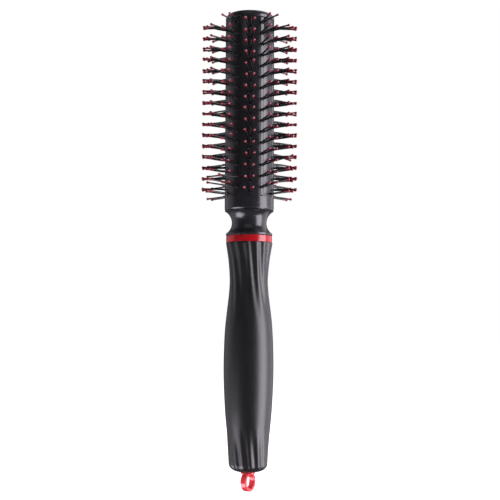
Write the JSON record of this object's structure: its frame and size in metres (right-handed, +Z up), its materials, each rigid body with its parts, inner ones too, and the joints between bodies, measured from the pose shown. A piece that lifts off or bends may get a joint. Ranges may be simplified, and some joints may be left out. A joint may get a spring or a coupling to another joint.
{
  "type": "round barrel hair brush",
  "caption": "Round barrel hair brush: rows of ball-tipped nylon pins around a closed barrel, on a waisted neck and a fluted rubber grip with a swivelling hang ring.",
  "frame": {"origin": "on the brush's axis, at the hang ring's lowest point", "axes": "+Z up the brush's axis, from the hang ring to the barrel's end cap; -Y through the middle of pin row 1"},
  "size_m": [0.0488, 0.0488, 0.2451],
  "materials": {
    "barrel_black": "glossy moulded black",
    "bristle_nylon": "satin black nylon",
    "accent_red": "glossy translucent red",
    "grip_rubber": "soft-touch matte black",
    "core_plastic": "plain moulded black"
  },
  "bodies": {
    "brush": {"barrel_shell": "barrel_black", "end_cap": "barrel_black", "neck_collar": "barrel_black", "spindle": "core_plastic", "accent_ring": "accent_red", "handle_core": "core_plastic", "handle_grip": "grip_rubber", "ring_bush": "core_plastic", "bristle_strip_01": "bristle_nylon", "bristle_strip_02": "bristle_nylon", "bristle_strip_03": "bristle_nylon", "bristle_strip_04": "bristle_nylon", "bristle_strip_05": "bristle_nylon", "bristle_strip_06": "bristle_nylon", "bristle_strip_07": "bristle_nylon", "bristle_strip_08": "bristle_nylon", "bristle_strip_09": "bristle_nylon", "bristle_strip_10": "bristle_nylon", "bristle_strip_11": "bristle_nylon", "bristle_strip_12": "bristle_nylon"},
    "hang_ring": {"hang_ring": "accent_red"}
  },
  "joints": [
    {"name": "ring_swivel", "type": "hinge", "parent": "brush", "child": "hang_ring", "pos_m": [0, 0, 0.0135], "axis": [0, 0, 1], "continuous": true}
  ]
}
